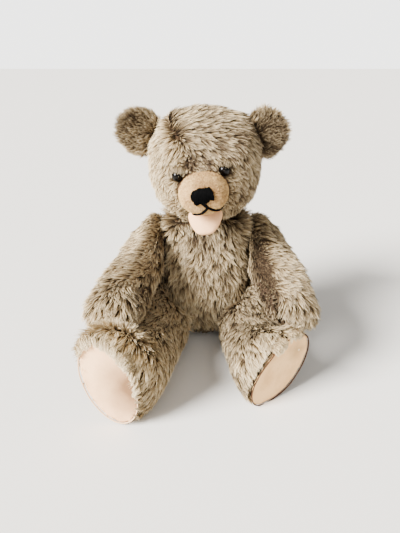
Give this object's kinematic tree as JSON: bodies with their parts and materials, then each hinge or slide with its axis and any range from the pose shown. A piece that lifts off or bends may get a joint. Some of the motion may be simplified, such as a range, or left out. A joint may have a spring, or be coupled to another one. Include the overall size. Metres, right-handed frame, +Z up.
{
  "type": "jointed teddy bear",
  "caption": "Seated old plush bear with worn curly pile, felt paws and soles, stitched nose, glass eyes, and head, arms and legs that turn on disc joints.",
  "frame": {"origin": "on the floor in the middle of the flat of the seat, midway between the hips", "axes": "+Z up, the bear faces -Y, +X is its own left side"},
  "size_m": [0.2438, 0.2694, 0.2762],
  "materials": {
    "mohair": "worn mohair plush, brown at the roots and cream at the tips",
    "mohair_ear": "worn mohair plush, darker and thin on the ears",
    "shorn_mohair": "mohair clipped short",
    "felt": "wool felt, faded and soiled",
    "jaw_felt": "wool felt, peach",
    "black_thread": "twisted cotton thread in satin stitch",
    "glass": "polished dark glass",
    "wood_wool": "packed wood shavings",
    "hardboard": "plain pressed board",
    "card": "plain grey board",
    "steel": "plain drawn wire and stamped sheet"
  },
  "bodies": {
    "torso": {"torso_cover": "mohair", "torso_stuffing": "wood_wool", "neck_torso_disc": "hardboard", "neck_torso_washer": "steel", "neck_cotter_pin": "steel", "shoulder_left_torso_disc": "hardboard", "shoulder_left_torso_washer": "steel", "shoulder_left_cotter_pin": "steel", "shoulder_right_torso_disc": "hardboard", "shoulder_right_torso_washer": "steel", "shoulder_right_cotter_pin": "steel", "hip_left_torso_disc": "hardboard", "hip_left_torso_washer": "steel", "hip_left_cotter_pin": "steel", "hip_right_torso_disc": "hardboard", "hip_right_torso_washer": "steel", "hip_right_cotter_pin": "steel"},
    "head": {"neck_limb_disc": "hardboard", "neck_limb_washer": "steel", "head_cover": "mohair", "muzzle_cover": "shorn_mohair", "lower_jaw": "jaw_felt", "nose_stitching": "black_thread", "mouth_stitching": "black_thread", "eye_left": "glass", "eye_right": "glass", "ear_left": "mohair_ear", "ear_right": "mohair_ear", "head_stuffing": "wood_wool"},
    "arm_left": {"shoulder_left_limb_disc": "hardboard", "shoulder_left_limb_washer": "steel", "arm_left_cover": "mohair", "arm_left_stuffing": "wood_wool", "arm_left_paw_pad": "felt"},
    "arm_right": {"shoulder_right_limb_disc": "hardboard", "shoulder_right_limb_washer": "steel", "arm_right_cover": "mohair", "arm_right_stuffing": "wood_wool", "arm_right_paw_pad": "felt"},
    "leg_left": {"hip_left_limb_disc": "hardboard", "hip_left_limb_washer": "steel", "leg_left_cover": "mohair", "leg_left_stuffing": "wood_wool", "leg_left_foot_pad": "felt", "leg_left_insole": "card"},
    "leg_right": {"hip_right_limb_disc": "hardboard", "hip_right_limb_washer": "steel", "leg_right_cover": "mohair", "leg_right_stuffing": "wood_wool", "leg_right_foot_pad": "felt", "leg_right_insole": "card"}
  },
  "joints": [
    {"name": "neck_turn", "type": "hinge", "parent": "torso", "child": "head", "pos_m": [0, 0.004, 0.151], "axis": [0, 0, 1], "range_deg": [-20, 20]},
    {"name": "shoulder_left_swing", "type": "hinge", "parent": "torso", "child": "arm_left", "pos_m": [0.051, -0.003, 0.119], "axis": [1, 0, 0], "range_deg": [-70, 0]},
    {"name": "shoulder_right_swing", "type": "hinge", "parent": "torso", "child": "arm_right", "pos_m": [-0.051, -0.003, 0.119], "axis": [-1, 0, 0], "range_deg": [0, 60]},
    {"name": "hip_left_swing", "type": "hinge", "parent": "torso", "child": "leg_left", "pos_m": [0.043, -0.003, 0.04], "axis": [0.9903, 0, -0.1392], "range_deg": [0, 120]},
    {"name": "hip_right_swing", "type": "hinge", "parent": "torso", "child": "leg_right", "pos_m": [-0.043, -0.003, 0.04], "axis": [-0.9903, 0, -0.1392], "range_deg": [-120, 0]}
  ]
}
